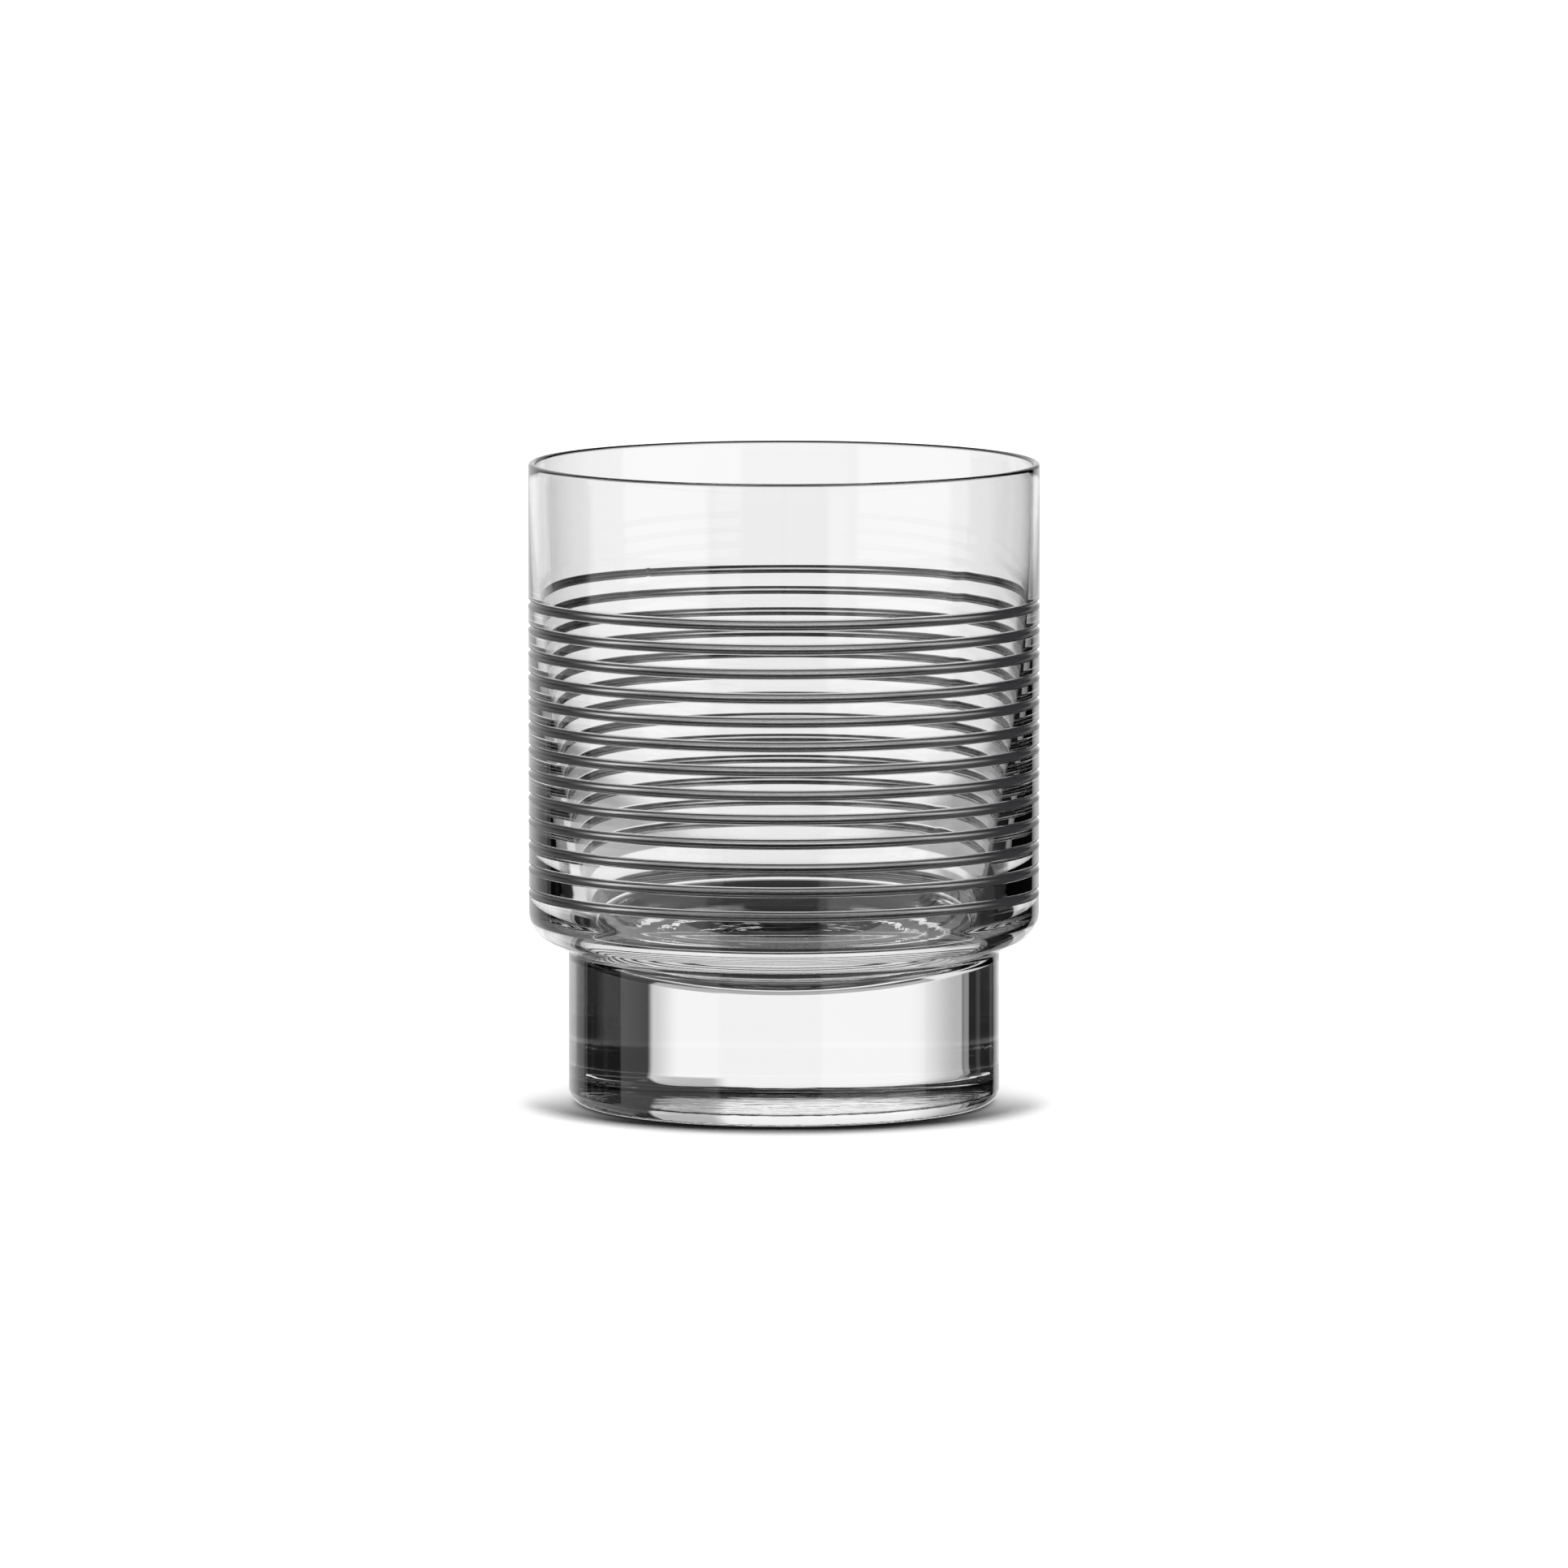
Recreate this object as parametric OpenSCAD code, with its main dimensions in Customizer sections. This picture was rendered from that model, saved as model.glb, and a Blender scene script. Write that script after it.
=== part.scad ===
// Whiskey tumbler: a clear glass bowl on a narrower solid foot, with a stack
// of dark lines round the bowl. Each line is a groove with a thin dark lining.
// Units are millimetres. +Z is up, the axis of the tumbler is the Z axis and
// the underside of the foot stands on Z = 0.

/* [Bowl] */
// Outer diameter of the straight bowl wall
bowl_d = 83.5; // [77:0.5:92]
// Overall height from the underside of the foot to the top of the rim
total_h = 105; // [98:0.5:115]
// Thickness of the wall at the rim, which is also the width of its round lip
rim_t = 1.2; // [0.9:0.1:2]
// Radius of the outer shoulder under the wall
shoulder_r = 5.3; // [3:0.1:7]
// Slope of the underside between shoulder and foot, from the horizontal
underside_angle = 26; // [15:1:40]

/* [Foot] */
// Diameter of the solid foot
foot_d = 70.5; // [62:0.5:74]
// Height at which the foot meets the underside of the bowl
foot_h = 25.2; // [20:0.2:27]
// Radius of the rounded bottom corner of the foot
foot_corner_r = 2.6; // [0.5:0.1:4]

/* [Inside] */
// Height of the lowest point of the dished cavity floor above the table
floor_z = 19; // [18:0.1:24]
// Radius of the shallow dish of the cavity floor
dish_r = 85; // [70:5:200]
// Radius of the round corner between the floor and the inner wall
floor_corner_r = 12; // [8:0.5:16]
// Radius of the long arc that draws the inner wall in from lip to floor
inner_bend_r = 360; // [330:5:450]
// Height above which the inner wall is upright
lip_z = 103; // [95:0.5:103.5]

/* [Lines] */
// Number of dark lines
line_count = 13; // [1:1:14]
// Height of the middle of the top line
line_top_z = 82.25; // [82:0.25:90]
// Distance from one line to the next
line_pitch = 3.925; // [2.6:0.025:3.95]
// Width of a line on the surface of the wall
line_w = 1.45; // [1.2:0.05:1.8]
// Depth of the groove that holds a line
groove_depth = 0.5; // [0.4:0.02:0.6]
// Thickness of the dark lining that lies in a groove
lining_t = 0.12; // [0.08:0.02:0.2]

/* [Hidden] */
// Gap between a lining and the bottom of its groove
seat_gap = 0.01;
// Number of straight steps that stand for one round stretch of an outline
arc_steps = 16;
// Facet count that marks a shape as truly round
round_fn = 96;
// How far a cutting shape runs past the surface that it cuts
overrun = 0.5;

bowl_r = bowl_d / 2;
foot_r = foot_d / 2;
lip_r = rim_t / 2;

// A groove is a shallow round channel. The middle of its arc lies outside the wall.
groove_r = (pow(line_w / 2, 2) + pow(groove_depth, 2)) / (2 * groove_depth);
groove_mid_r = bowl_r - groove_depth + groove_r;

// The inner wall: upright at the lip, then one long arc down to the corner,
// and a shallow dish for the floor. The corner touches both of them, so its
// middle is bend_reach from the middle of the long arc and dish_reach from
// the middle of the dish.
inner_r_top = bowl_r - rim_t;
bend_mid_r = inner_r_top - inner_bend_r;
dish_mid_z = floor_z + dish_r;
bend_reach = inner_bend_r - floor_corner_r;
dish_reach = dish_r - floor_corner_r;
mids_rise = dish_mid_z - lip_z;
mids_apart = sqrt(pow(bend_mid_r, 2) + pow(mids_rise, 2));
corner_turn = acos((pow(bend_reach, 2) + pow(mids_apart, 2) - pow(dish_reach, 2))
    / (2 * bend_reach * mids_apart));
bend_lean = corner_turn - atan2(mids_rise, -bend_mid_r);
corner_mid_r = bend_mid_r + bend_reach * cos(bend_lean);
corner_mid_z = lip_z - bend_reach * sin(bend_lean);
dish_lean = asin(corner_mid_r / dish_reach);

// The shoulder arc runs from the wall to the sloping underside.
shoulder_mid_r = bowl_r - shoulder_r;
shoulder_low_r = shoulder_mid_r + shoulder_r * sin(underside_angle);
shoulder_drop = (shoulder_low_r - foot_r) * tan(underside_angle);
shoulder_mid_z = foot_h + shoulder_drop + shoulder_r * cos(underside_angle);

// Points of an arc; the first point is left out when the outline already has it.
function arc(mid_r, mid_z, r, from, to, first = 0) =
    [for (i = [first:arc_steps])
        let (a = from + (to - from) * i / arc_steps)
        [mid_r + r * cos(a), mid_z + r * sin(a)]];

function two_digits(i) = i < 10 ? str("0", i) : str(i);
function ring_name(i) = str("ring_", two_digits(i));
function ring_z(i) = line_top_z - (i - 1) * line_pitch;

// Half of the outer and inner outline of the glass, from the axis out and
// round, before the grooves are cut.
module glass_outline() {
    polygon(concat(
        [[0, 0]],
        arc(foot_r - foot_corner_r, foot_corner_r, foot_corner_r, -90, 0),
        [[foot_r, foot_h]],
        arc(shoulder_mid_r, shoulder_mid_z, shoulder_r, underside_angle - 90, 0),
        arc(bowl_r - lip_r, total_h - lip_r, lip_r, 0, 180),
        arc(bend_mid_r, lip_z, inner_bend_r, 0, -bend_lean),
        arc(corner_mid_r, corner_mid_z, floor_corner_r, -bend_lean, dish_lean - 90, first = 1),
        arc(0, dish_mid_z, dish_r, dish_lean - 90, -90, first = 1)
    ));
}

// Section of the groove at height z.
module groove_section(z) {
    translate([groove_mid_r, z]) circle(r = groove_r + seat_gap, $fn = round_fn);
}

// The whole glass in one piece: bowl, shoulder and solid foot.
module glass_body() {
    color([0.86, 0.90, 0.92, 0.35])
    rotate_extrude($fn = round_fn)
    difference() {
        glass_outline();
        for (i = [1:line_count]) groove_section(ring_z(i));
    }
}

// One closed dark ring: the thin lining of groove number i, flush with the wall.
module ring(i) {
    color([0.25, 0.25, 0.26])
    translate([0, 0, ring_z(i)])
    rotate_extrude($fn = round_fn)
    intersection() {
        difference() {
            translate([groove_mid_r, 0]) circle(r = groove_r, $fn = round_fn);
            translate([groove_mid_r, 0]) circle(r = groove_r - lining_t, $fn = round_fn);
        }
        translate([bowl_r - groove_depth - overrun, -line_w])
            square([groove_depth + overrun, 2 * line_w]);
    }
}

glass_body();
for (i = [1:line_count])
    ring(i);
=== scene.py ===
"""A clear glass whiskey tumbler: a bowl with dark lines cut round it, on a narrower solid foot."""

import math

import bpy
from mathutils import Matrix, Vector


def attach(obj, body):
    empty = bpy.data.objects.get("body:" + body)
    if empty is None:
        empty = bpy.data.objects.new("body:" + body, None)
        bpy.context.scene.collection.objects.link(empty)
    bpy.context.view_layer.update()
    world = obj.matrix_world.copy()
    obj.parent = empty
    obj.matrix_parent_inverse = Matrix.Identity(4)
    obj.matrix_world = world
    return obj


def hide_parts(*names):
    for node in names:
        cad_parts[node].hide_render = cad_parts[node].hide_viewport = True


MM = 0.001

# Sizes of the tumbler in millimetres, the same as in the CAD part
BOWL_R = 41.75
TOTAL_H = 105.0
RIM_T = 1.2
SHOULDER_R = 5.3
UNDERSIDE_ANGLE = 26.0
FOOT_R = 35.25
FOOT_H = 25.2
FOOT_CORNER_R = 2.6
FLOOR_Z = 19.0
DISH_R = 85.0
FLOOR_CORNER_R = 12.0
LIP_Z = 103.0
INNER_BEND_R = 360.0
LINE_COUNT = 13
LINE_TOP_Z = 82.25
LINE_PITCH = 3.925
LINE_W = 1.45
GROOVE_DEPTH = 0.5
LINING_T = 0.12
SEAT_GAP = 0.01

# A groove is a shallow round channel. The middle of its arc lies outside the wall.
GROOVE_R = ((LINE_W / 2) ** 2 + GROOVE_DEPTH**2) / (2 * GROOVE_DEPTH)
GROOVE_MID_R = BOWL_R - GROOVE_DEPTH + GROOVE_R

# Details that only show in the looks, in millimetres and degrees
NECK_FILLET_R = 0.8
GROOVE_EDGE_R = 0.06
SEAM_AZIMUTH = 47.0
SEAM_WIDTH = 3.0
SEAM_LIFT = 0.1
NICK_AZIMUTH = -34.0
NICK_WIDTH = 0.4
NICK_LIFT = 0.16
LINE_WANDER = 0.025
SHIFT_MARGIN = 0.2
SHIFT_DEPTH = 1.0

# Steps of the meshes: round the axis, and the span in degrees of the closer steps at the seam and the nick
SEGMENTS = 240
CLOSE_STEPS = 8
SEAM_SPAN = 6.0
NICK_SPAN = 1.2
CLOSE_OFFSET = 0.011

# The studio round the tumbler: name, azimuth from and to, elevation from and to, softness, brightness.
# Azimuth 0 is straight behind the tumbler and 90 on its right.
BASE_LEVEL = 0.03
STUDIO = (
    ("overhead", -25, 25, 50, 91, 6, 0.25),
    ("camera_side_left", -180, -150, -5, 6, 4, 0.6),
    ("camera_side_right", 150, 180, -5, 6, 4, 0.6),
    ("left_wall", -145, -76, -40, 4, 4, 0.8),
    ("left_low", -80, -34, -45, -16, 4, 0.92),
    ("right_wall", 98, 160, -45, 3, 4, 0.88),
    ("right_strip", 70, 98, -20, 3, 3, 0.2),
    ("table", -34, 26, -29, -18, 3, 0.45),
    ("backdrop", -45.5, 28.2, -18, 34, 2, 0.96),
    ("backdrop_right_high", 12, 28.6, -2, 34, 4, 0.5),
    ("backdrop_right_low", 12, 28.6, -28, -11, 3, 0.45),
    ("backdrop_right_edge", 24, 40, -14, 10, 8, 0.6),
    ("backdrop_left", -60, -34, -16, 50, 18, 0.5),
    ("left_flag", -82, -45.5, -11, 16, 2, 0.02),
    ("left_flag_gap", -71, -67, -11, 10, 2, 0.1),
    ("left_flag_fold", -57, -54, -11, 10, 2, 0.07),
    ("backdrop_edge", -49, -46, -11, 16, 1, 0.3),
    ("right_flag", 28.2, 61, -28, 30, 2, 0.01),
)

# One soft sun over the whole sky, which lights the floor
DOME_ENERGY = 5.0
DOME_ANGLE = 170.0

# The camera: a long lens far away, looking a little down. Metres, degrees and millimetres of lens.
CAMERA_DISTANCE = 2.502
CAMERA_ELEVATION = 6.17
CAMERA_AIM_Z = 0.05218
CAMERA_LENS = 351.6
CAMERA_SENSOR = 36.0
CAMERA_CLIP_END = 100.0

# The lining of the lines, from clear where it faces the eye to dark at a slant. A painted highlight, a
# lighter band painted into its colour, lies between two heights, as shares of the distance between lines
# from the middle of the line.
# The lighter colour serves both for the clear film and for the painted highlight.
LINING_CLEAR_AND_HIGHLIGHT = (0.86, 0.86, 0.86, 1)
LINING_DARK = (0.03, 0.03, 0.032, 1)
LINING_CLEAR_SLANT = 0.05
LINING_DARK_SLANT = 0.5
# Painted highlight and shade: the band's lower and upper heights, the softness of its edges, and the share
# of the light colour left outside it, where the colour is darkened as painted shade.
HIGHLIGHT_LOW = -0.015
HIGHLIGHT_HIGH = 0.15
HIGHLIGHT_SOFT = 0.07
HIGHLIGHT_FLOOR = 0.1
LINING_TRANSMISSION = 0.95
LINING_ROUGHNESS = 0.08
LINING_IOR = 1.5
LINING_SPECULAR = 0.15
GRAIN_SCALE = 900.0
GRAIN_STRETCH = (1.0, 1.0, 2.5)
GRAIN_SHARE = 0.12

# The glass: slow waves all over, and ripples that fade out from RIPPLE_LOW_Z up to RIPPLE_HIGH_Z.
# Heights are in metres and scales in noise cells per metre.
GLASS_IOR = 1.52
WAVE_SCALE = 55.0
WAVE_STRETCH = (1.0, 1.0, 0.4)
WAVE_SHARE = 0.25
RIPPLE_SCALE = 650.0
RIPPLE_STRETCH = (0.35, 1.0, 1.0)
RIPPLE_HEIGHT = 0.00008
RIPPLE_LOW_Z = 0.0012
RIPPLE_HIGH_Z = 0.003

# The floor, in metres. Its contact shadow fades between two shares of open sky, and from front to back.
FLOOR_HALF = 6.0
FLOOR_DROP = 0.00005
PAPER_WHITE = (0.9, 0.9, 0.9, 1)
CONTACT_BLACK = (0.015, 0.015, 0.015, 1)
CONTACT_SAMPLES = 8
CONTACT_REACH = 0.014
CONTACT_DARK = 0.6
CONTACT_CLEAR = 0.9
CONTACT_FRONT_Y = -0.03
CONTACT_BACK_Y = 0.015


def polar(mid_r, mid_z, radius, angle):
    a = math.radians(angle)
    return (mid_r + radius * math.cos(a), mid_z + radius * math.sin(a))


def arc(mid_r, mid_z, radius, start, end, steps):
    """Points (r, z) of an arc between two angles in degrees."""
    return [polar(mid_r, mid_z, radius, start + (end - start) * i / steps) for i in range(steps + 1)]


def line(start, end, steps):
    """Points from start towards end, without the two ends."""
    (r0, z0), (r1, z1) = start, end
    return [(r0 + (r1 - r0) * i / steps, z0 + (z1 - z0) * i / steps) for i in range(1, steps)]


def ring_name(i):
    return f"ring_{i:02d}"


def ring_z(i):
    return LINE_TOP_Z - (i - 1) * LINE_PITCH


def groove_outline(z, steps):
    """The cut of one groove, from its lower edge to its upper edge, with both edges a little rounded."""
    radius = GROOVE_R + SEAT_GAP
    reach = math.degrees(math.acos((GROOVE_MID_R - BOWL_R) / radius))
    half = radius * math.sin(math.radians(reach))
    trim = math.degrees(GROOVE_EDGE_R / radius)
    lower = [(BOWL_R, z - half - 3 * GROOVE_EDGE_R), (BOWL_R, z - half - GROOVE_EDGE_R)]
    upper = [(BOWL_R, z + half + GROOVE_EDGE_R), (BOWL_R, z + half + 3 * GROOVE_EDGE_R)]
    cut = arc(GROOVE_MID_R, z, radius, 180 + reach - trim, 180 - reach + trim, steps)
    near_low = polar(GROOVE_MID_R, z, radius, 180 + reach - 3 * trim)
    near_high = polar(GROOVE_MID_R, z, radius, 180 - reach + 3 * trim)
    return lower + [cut[0], near_low] + cut[1:-1] + [near_high, cut[-1]] + upper


def neck_outline(low):
    """The side of the foot from z = low, the small fillet above it, the underside and the shoulder."""
    slope = math.radians(UNDERSIDE_ANGLE)
    shoulder_mid_r = BOWL_R - SHOULDER_R
    shoulder_low_r = shoulder_mid_r + SHOULDER_R * math.sin(slope)
    shoulder_drop = (shoulder_low_r - FOOT_R) * math.tan(slope)
    shoulder_mid_z = FOOT_H + shoulder_drop + SHOULDER_R * math.cos(slope)
    fillet_mid_r = FOOT_R + NECK_FILLET_R
    fillet_mid_z = FOOT_H - NECK_FILLET_R * math.tan((math.pi / 2 - slope) / 2)
    fillet = arc(fillet_mid_r, fillet_mid_z, NECK_FILLET_R, 180, 90 + UNDERSIDE_ANGLE, 6)
    shoulder = arc(shoulder_mid_r, shoulder_mid_z, SHOULDER_R, UNDERSIDE_ANGLE - 90, 0, 20)
    side = line((FOOT_R, low), fillet[0], 16)
    return side + fillet + line(fillet[-1], shoulder[0], 5) + shoulder


def cavity_outline():
    """The inside from the lip down to the axis: one long bend, a round corner and a dished floor."""
    bend_mid_r = BOWL_R - RIM_T - INNER_BEND_R
    dish_mid_z = FLOOR_Z + DISH_R
    bend_reach = INNER_BEND_R - FLOOR_CORNER_R
    dish_reach = DISH_R - FLOOR_CORNER_R
    rise = dish_mid_z - LIP_Z
    apart = math.hypot(bend_mid_r, rise)
    turn = math.acos((bend_reach**2 + apart**2 - dish_reach**2) / (2 * bend_reach * apart))
    lean = turn - math.atan2(rise, -bend_mid_r)
    corner_mid_r = bend_mid_r + bend_reach * math.cos(lean)
    corner_mid_z = LIP_Z - bend_reach * math.sin(lean)
    dish_lean = math.degrees(math.asin(corner_mid_r / dish_reach))
    lean = math.degrees(lean)
    bend = arc(bend_mid_r, LIP_Z, INNER_BEND_R, 0, -lean, 26)
    corner = arc(corner_mid_r, corner_mid_z, FLOOR_CORNER_R, -lean, dish_lean - 90, 18)
    dish = arc(0, dish_mid_z, DISH_R, dish_lean - 90, -90, 16)
    return bend + corner[1:] + dish[1:-1] + [(0, FLOOR_Z)]


def glass_outline():
    """The whole section of the tumbler, from the middle of its underside to the middle of its cavity."""
    sole = line((0, 0), (FOOT_R - FOOT_CORNER_R, 0), 6)
    heel = arc(FOOT_R - FOOT_CORNER_R, FOOT_CORNER_R, FOOT_CORNER_R, -90, 0, 12)
    outline = [(0, 0)] + sole + heel + neck_outline(FOOT_CORNER_R)
    for i in range(LINE_COUNT, 0, -1):
        groove = groove_outline(ring_z(i), 9)
        outline += line(outline[-1], groove[0], 3) + groove
    lip_r = RIM_T / 2
    lip = arc(BOWL_R - lip_r, TOTAL_H - lip_r, lip_r, 0, 180, 14)
    outline += line(outline[-1], lip[0], 10) + lip
    return outline + cavity_outline()


def lining_outline(z):
    """The section of the thin dark lining of one groove, flush with the wall of the bowl."""
    inner = GROOVE_R - LINING_T
    offset = GROOVE_MID_R - BOWL_R
    reach_out = math.degrees(math.acos(offset / GROOVE_R))
    reach_in = math.degrees(math.acos(offset / inner))
    seat = arc(GROOVE_MID_R, z, GROOVE_R, 180 + reach_out, 180 - reach_out, 12)
    face = arc(GROOVE_MID_R, z, inner, 180 - reach_in, 180 + reach_in, 12)
    return seat + face


def azimuths():
    """Angles of the segments in degrees, with more of them at the seam and the nick of the lines."""
    angles = [360.0 * i / SEGMENTS for i in range(SEGMENTS)]
    for centre, span in ((SEAM_AZIMUTH, SEAM_SPAN), (NICK_AZIMUTH, NICK_SPAN)):
        for i in range(CLOSE_STEPS + 1):
            angles.append((centre + span * (i / CLOSE_STEPS - 0.5)) % 360 + CLOSE_OFFSET)
    return sorted(angles)


def angle_from(azimuth, mark):
    """How far an azimuth is past a mark, from -180 to 180 degrees."""
    return (azimuth - mark + 180) % 360 - 180


def line_shift(azimuth, z):
    """How far up a point of a line moves: a slow wander, a small wave at the seam, a nick in line 1."""
    i = round((LINE_TOP_Z - z) / LINE_PITCH)
    if i < 0 or i > LINE_COUNT - 1:
        return 0.0
    away = abs(z - (LINE_TOP_Z - i * LINE_PITCH))
    fade = LINE_PITCH / 2 - LINE_W / 2 - SHIFT_MARGIN
    hold = min(1.0, max(0.0, (LINE_PITCH / 2 - away) / fade))
    turn = math.radians(azimuth)
    # Two waves round the glass, out of step from line to line
    wander = math.sin(2 * turn + 1.7 * i) + 0.6 * math.sin(5 * turn + 2.9 * i)
    s = angle_from(azimuth, SEAM_AZIMUTH) / SEAM_WIDTH
    wave = SEAM_LIFT * 2 * s * math.exp(-s * s)
    nick = 0.0
    if i == 0:
        nick = NICK_LIFT * math.exp(-((angle_from(azimuth, NICK_AZIMUTH) / NICK_WIDTH) ** 2))
    return hold * (LINE_WANDER * wander + wave + nick)


def revolve(name, outline, closed):
    """A mesh of the outline turned round Z. Azimuth 0 is the back of the tumbler, +Y, and 90 is +X."""
    angles = azimuths()
    verts = []
    rows = []
    for r, z in outline:
        if r == 0:
            rows.append([len(verts)] * len(angles))
            verts.append((0, 0, z * MM))
            continue
        rows.append(list(range(len(verts), len(verts) + len(angles))))
        for a in angles:
            lift = line_shift(a, z) if r > BOWL_R - SHIFT_DEPTH else 0.0
            turn = math.radians(a)
            verts.append((r * MM * math.sin(turn), r * MM * math.cos(turn), (z + lift) * MM))
    if closed:
        rows.append(rows[0])
    faces = []
    for low, high in zip(rows, rows[1:]):
        for k in range(len(angles)):
            n = (k + 1) % len(angles)
            corners = [low[k], high[k], high[n], low[n]]
            faces.append([c for j, c in enumerate(corners) if c != corners[j - 1]])
    mesh = bpy.data.meshes.new(name)
    mesh.from_pydata(verts, [], faces)
    mesh.polygons.foreach_set("use_smooth", [True] * len(mesh.polygons))
    mesh.update()
    obj = bpy.data.objects.new(name, mesh)
    bpy.context.scene.collection.objects.link(obj)
    return obj


def new_material(name):
    material = bpy.data.materials.new(name)
    material.use_nodes = True
    tree = material.node_tree
    tree.nodes.clear()
    output = tree.nodes.new("ShaderNodeOutputMaterial")
    shader = tree.nodes.new("ShaderNodeBsdfPrincipled")
    tree.links.new(shader.outputs["BSDF"], output.inputs["Surface"])
    return material, tree, shader


def math_node(tree, operation, a, b=None):
    """The output of a Math node. a and b are sockets or numbers."""
    node = tree.nodes.new("ShaderNodeMath")
    node.operation = operation
    for socket, value in zip(node.inputs, (a, b)):
        if value is None:
            continue
        if isinstance(value, (int, float)):
            socket.default_value = value
        else:
            tree.links.new(value, socket)
    return node.outputs[0]


def ramp_between(tree, value, low, high):
    """0 below low, 1 above high, smooth between."""
    node = tree.nodes.new("ShaderNodeMapRange")
    node.interpolation_type = "SMOOTHSTEP"
    node.inputs["From Min"].default_value = low
    node.inputs["From Max"].default_value = high
    tree.links.new(value, node.inputs["Value"])
    return node.outputs["Result"]


def window(tree, value, low, high, soft):
    """1 where value is between low and high, fading over soft at both ends."""
    rise = ramp_between(tree, value, low - soft / 2, low + soft / 2)
    fall = ramp_between(tree, value, high - soft / 2, high + soft / 2)
    return math_node(tree, "SUBTRACT", rise, fall)


def mix_numbers(tree, a, b, factor):
    """a where factor is 0 and b where it is 1. a is a socket and b a number."""
    node = tree.nodes.new("ShaderNodeMix")
    tree.links.new(factor, node.inputs[0])
    tree.links.new(a, node.inputs[2])
    node.inputs[3].default_value = b
    return node.outputs[0]


def mix_colours(tree, a, b, factor):
    """Colour a where factor is 0 and colour b where it is 1."""
    node = tree.nodes.new("ShaderNodeMix")
    node.data_type = "RGBA"
    node.inputs["A"].default_value = a
    node.inputs["B"].default_value = b
    tree.links.new(factor, node.inputs["Factor"])
    return node.outputs["Result"]


def own_place(tree):
    """The X, Y and Z sockets of the piece's own coordinates, in metres."""
    coords = tree.nodes.new("ShaderNodeTexCoord")
    split = tree.nodes.new("ShaderNodeSeparateXYZ")
    tree.links.new(coords.outputs["Object"], split.inputs[0])
    return split.outputs


def scaled_noise(tree, scale, stretch, detail):
    """A noise value from the piece's own coordinates, in metres, stretched along each axis."""
    coords = tree.nodes.new("ShaderNodeTexCoord")
    mapping = tree.nodes.new("ShaderNodeMapping")
    mapping.inputs["Scale"].default_value = stretch
    tree.links.new(coords.outputs["Object"], mapping.inputs["Vector"])
    noise = tree.nodes.new("ShaderNodeTexNoise")
    noise.inputs["Scale"].default_value = scale
    noise.inputs["Detail"].default_value = detail
    tree.links.new(mapping.outputs["Vector"], noise.inputs["Vector"])
    return noise.outputs["Fac"]


def clear_glass():
    """Clear glass with a faint slow waviness, and fine ripples on the heel and sole of the foot."""
    material, tree, shader = new_material("clear_glass")
    shader.inputs["Base Color"].default_value = (1, 1, 1, 1)
    shader.inputs["Roughness"].default_value = 0.0
    shader.inputs["IOR"].default_value = GLASS_IOR
    shader.inputs["Transmission Weight"].default_value = 1.0
    above_heel = ramp_between(tree, own_place(tree)[2], RIPPLE_LOW_Z, RIPPLE_HIGH_Z)
    near_table = math_node(tree, "SUBTRACT", 1.0, above_heel)
    ripples = scaled_noise(tree, RIPPLE_SCALE, RIPPLE_STRETCH, 2.0)
    waves = scaled_noise(tree, WAVE_SCALE, WAVE_STRETCH, 1.0)
    fine = math_node(tree, "MULTIPLY", ripples, near_table)
    slow = math_node(tree, "MULTIPLY", waves, WAVE_SHARE)
    bump = tree.nodes.new("ShaderNodeBump")
    bump.inputs["Strength"].default_value = 1.0
    bump.inputs["Distance"].default_value = RIPPLE_HEIGHT
    tree.links.new(math_node(tree, "ADD", fine, slow), bump.inputs["Height"])
    tree.links.new(bump.outputs["Normal"], shader.inputs["Normal"])
    return material


def height_in_line(tree):
    """How far above the middle of its line a point is, as a share of the distance between lines."""
    below_top = math_node(tree, "SUBTRACT", own_place(tree)[2], LINE_TOP_Z * MM)
    steps = math_node(tree, "DIVIDE", below_top, LINE_PITCH * MM)
    shifted = math_node(tree, "ADD", steps, LINE_COUNT + 0.5)
    return math_node(tree, "SUBTRACT", math_node(tree, "FRACT", shifted), 0.5)


def line_lining():
    """Smoky satin film, dark where it is at a slant, with a painted highlight: a lighter band along its
    upper half, and painted shade darkening it below.
    """
    material, tree, shader = new_material("line_lining")
    weight = tree.nodes.new("ShaderNodeLayerWeight")
    weight.inputs["Blend"].default_value = 0.5
    slant = ramp_between(tree, weight.outputs["Facing"], LINING_CLEAR_SLANT, LINING_DARK_SLANT)
    facing = math_node(tree, "SUBTRACT", 1.0, slant)
    # Painted highlight: the colour is lighter in a band along the upper half of each line, and darker, as
    # painted shade, below and above it.
    painted_highlight = window(tree, height_in_line(tree), HIGHLIGHT_LOW, HIGHLIGHT_HIGH, HIGHLIGHT_SOFT)
    share = math_node(tree, "ADD", math_node(tree, "MULTIPLY", painted_highlight, 1 - HIGHLIGHT_FLOOR), HIGHLIGHT_FLOOR)
    # Light colour only where the film faces the eye and inside the painted highlight band.
    clear = math_node(tree, "MULTIPLY", facing, share)
    colour = mix_colours(tree, LINING_DARK, LINING_CLEAR_AND_HIGHLIGHT, clear)
    through = math_node(tree, "MULTIPLY", facing, LINING_TRANSMISSION)
    grain = scaled_noise(tree, GRAIN_SCALE, GRAIN_STRETCH, 3.0)
    rough = math_node(tree, "ADD", math_node(tree, "MULTIPLY", grain, GRAIN_SHARE), LINING_ROUGHNESS)
    tree.links.new(colour, shader.inputs["Base Color"])
    tree.links.new(through, shader.inputs["Transmission Weight"])
    tree.links.new(rough, shader.inputs["Roughness"])
    shader.inputs["IOR"].default_value = LINING_IOR
    shader.inputs["Specular IOR Level"].default_value = LINING_SPECULAR
    return material


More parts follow.
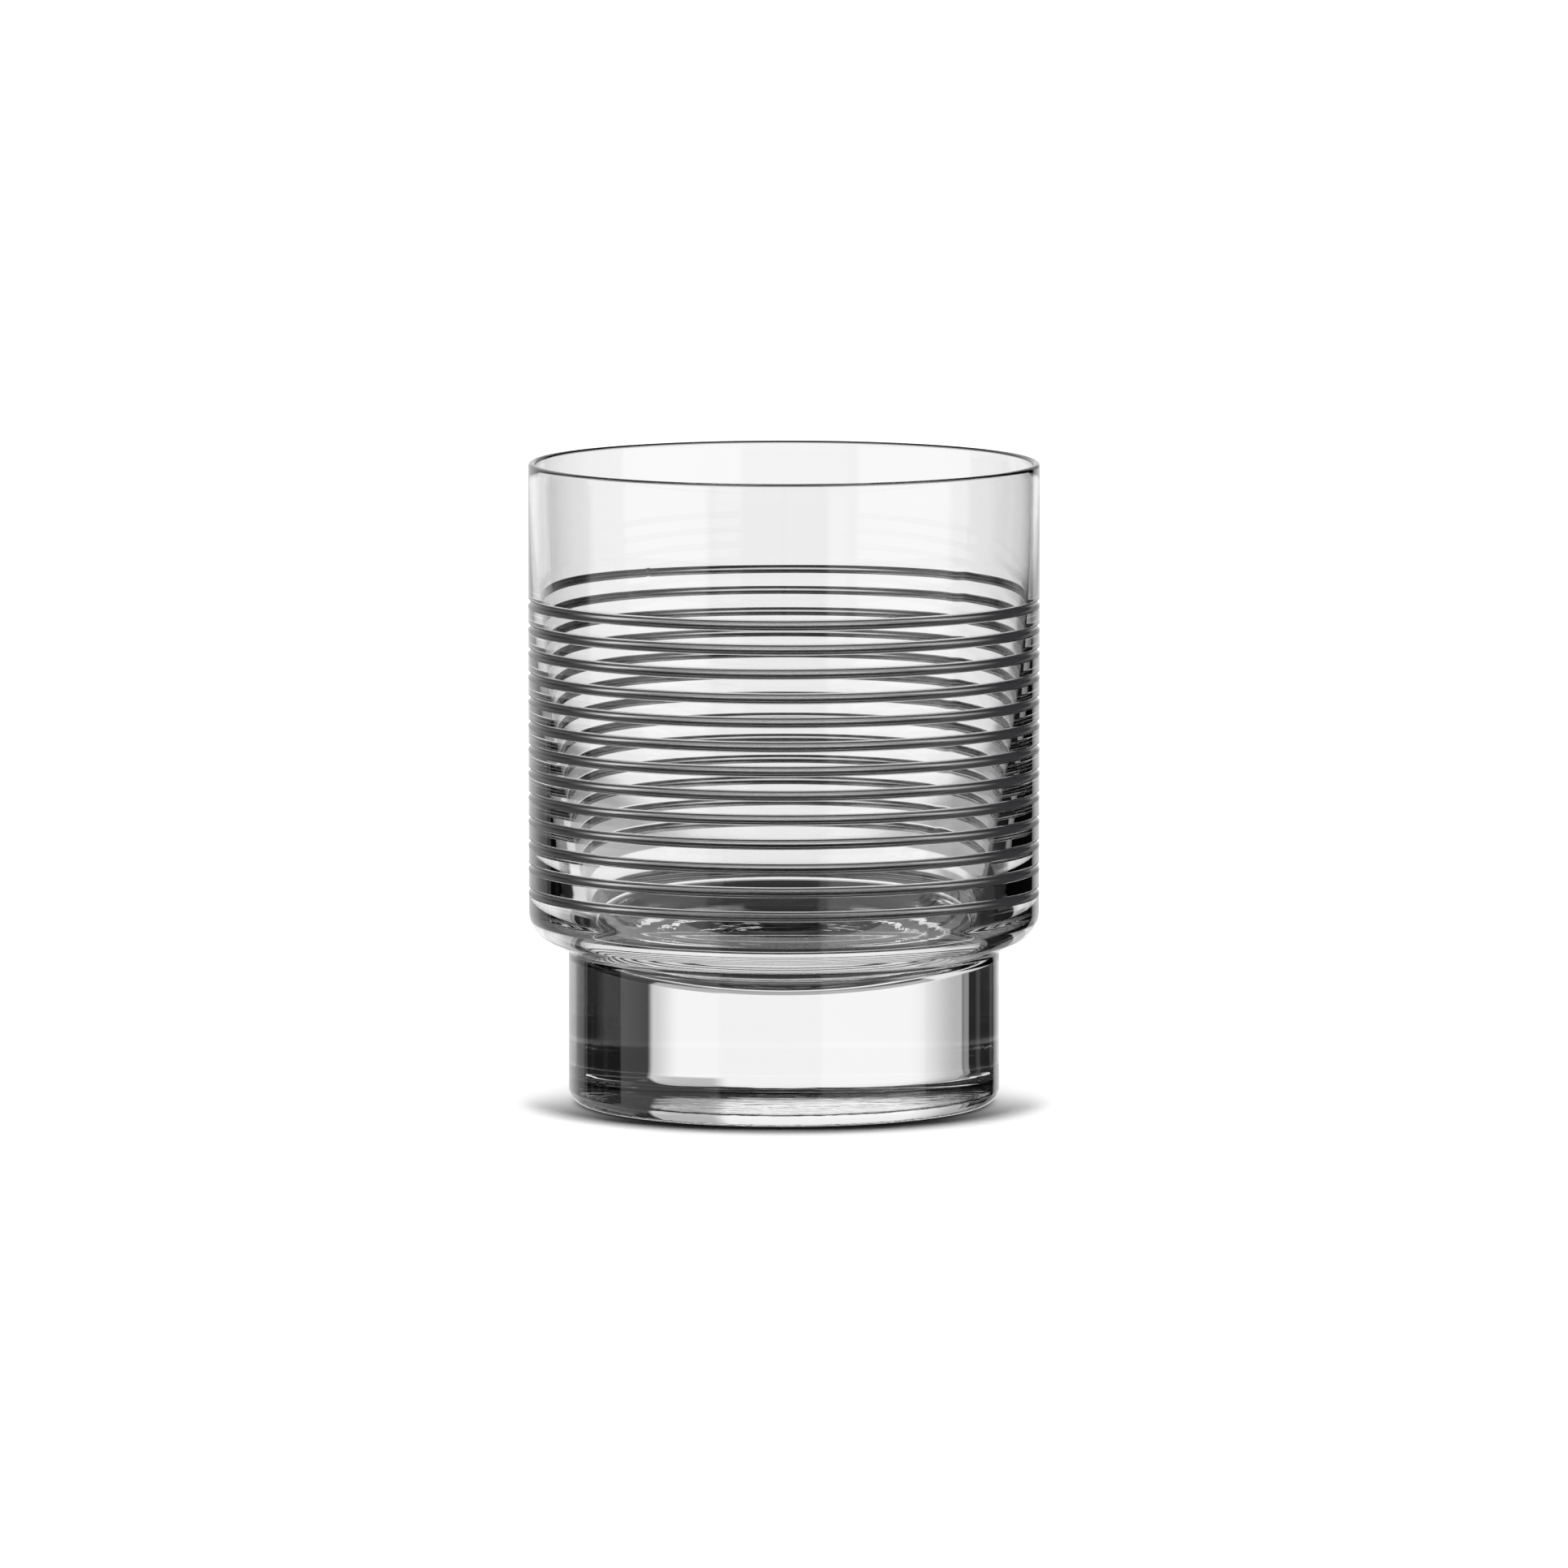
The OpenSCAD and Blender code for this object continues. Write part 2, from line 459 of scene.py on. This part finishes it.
def build_glass():
    glass = revolve("tumbler_glass", glass_outline(), False)
    glass.data.materials.append(clear_glass())
    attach(glass, "root")
    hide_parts("glass_body")


def build_linings():
    dark = line_lining()
    for i in range(1, LINE_COUNT + 1):
        lining = revolve(f"lining_{i:02d}", lining_outline(ring_z(i)), True)
        lining.data.materials.append(dark)
        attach(lining, "root")
        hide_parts(ring_name(i))


def pale_floor():
    """White paper, with a tight contact shadow that is darkest in front of the foot and gone behind it."""
    material, tree, shader = new_material("pale_floor")
    openness = tree.nodes.new("ShaderNodeAmbientOcclusion")
    openness.samples = CONTACT_SAMPLES
    openness.inputs["Distance"].default_value = CONTACT_REACH
    open_floor = ramp_between(tree, openness.outputs["AO"], CONTACT_DARK, CONTACT_CLEAR)
    behind = ramp_between(tree, own_place(tree)[1], CONTACT_FRONT_Y, CONTACT_BACK_Y)
    lit = math_node(tree, "MAXIMUM", open_floor, behind)
    tree.links.new(mix_colours(tree, CONTACT_BLACK, PAPER_WHITE, lit), shader.inputs["Base Color"])
    shader.inputs["Roughness"].default_value = 1.0
    shader.inputs["Specular IOR Level"].default_value = 0.0
    return material


def add_floor():
    size = FLOOR_HALF
    corners = [(-size, -size, 0), (size, -size, 0), (size, size, 0), (-size, size, 0)]
    mesh = bpy.data.meshes.new("floor")
    mesh.from_pydata(corners, [], [(0, 1, 2, 3)])
    floor = bpy.data.objects.new("floor", mesh)
    bpy.context.scene.collection.objects.link(floor)
    floor.location.z = -FLOOR_DROP
    floor.data.materials.append(pale_floor())
    floor.visible_glossy = False
    floor.visible_transmission = False


def studio_world():
    """White to the camera. Everything else sees the panels of the studio on a nearly black sky."""
    world = bpy.data.worlds.new("studio")
    bpy.context.scene.world = world
    world.use_nodes = True
    tree = world.node_tree
    tree.nodes.clear()
    output = tree.nodes.new("ShaderNodeOutputWorld")
    background = tree.nodes.new("ShaderNodeBackground")
    background.inputs["Color"].default_value = (1, 1, 1, 1)
    tree.links.new(background.outputs[0], output.inputs["Surface"])
    coords = tree.nodes.new("ShaderNodeTexCoord")
    split = tree.nodes.new("ShaderNodeSeparateXYZ")
    tree.links.new(coords.outputs["Generated"], split.inputs[0])
    degrees = 180 / math.pi
    bearing = math_node(tree, "ARCTAN2", split.outputs[0], split.outputs[1])
    azimuth = math_node(tree, "MULTIPLY", bearing, degrees)
    elevation = math_node(tree, "MULTIPLY", math_node(tree, "ARCSINE", split.outputs[2]), degrees)
    level = math_node(tree, "ADD", 0.0, BASE_LEVEL)
    for name, left, right, low, high, soft, brightness in STUDIO:
        across = window(tree, azimuth, left, right, soft)
        upright = window(tree, elevation, low, high, soft)
        mask = math_node(tree, "MULTIPLY", across, upright)
        mask.node.label = name
        level = mix_numbers(tree, level, brightness, mask)
    path = tree.nodes.new("ShaderNodeLightPath")
    seen = math_node(tree, "MAXIMUM", level, path.outputs["Is Camera Ray"])
    tree.links.new(seen, background.inputs["Strength"])


def add_light():
    data = bpy.data.lights.new("dome", "SUN")
    data.energy = DOME_ENERGY
    data.angle = math.radians(DOME_ANGLE)
    light = bpy.data.objects.new("dome", data)
    bpy.context.scene.collection.objects.link(light)
    light.visible_glossy = False
    light.visible_transmission = False


def add_camera():
    elevation = math.radians(CAMERA_ELEVATION)
    data = bpy.data.cameras.new("camera")
    data.sensor_width = CAMERA_SENSOR
    data.lens = CAMERA_LENS
    data.clip_end = CAMERA_CLIP_END
    camera = bpy.data.objects.new("camera", data)
    bpy.context.scene.collection.objects.link(camera)
    back = Vector((0, -math.cos(elevation), math.sin(elevation)))
    camera.location = Vector((0, 0, CAMERA_AIM_Z)) + back * CAMERA_DISTANCE
    camera.rotation_euler = (math.pi / 2 - elevation, 0, 0)
    bpy.context.scene.camera = camera


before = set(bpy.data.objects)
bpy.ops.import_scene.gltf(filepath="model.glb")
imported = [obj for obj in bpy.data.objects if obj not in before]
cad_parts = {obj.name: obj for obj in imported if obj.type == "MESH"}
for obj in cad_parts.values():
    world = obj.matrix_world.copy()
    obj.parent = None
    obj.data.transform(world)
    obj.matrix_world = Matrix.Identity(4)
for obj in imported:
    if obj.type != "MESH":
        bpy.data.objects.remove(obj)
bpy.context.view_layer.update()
build_glass()
build_linings()
add_floor()
studio_world()
add_light()
add_camera()
bpy.context.scene.view_settings.view_transform = "Standard"
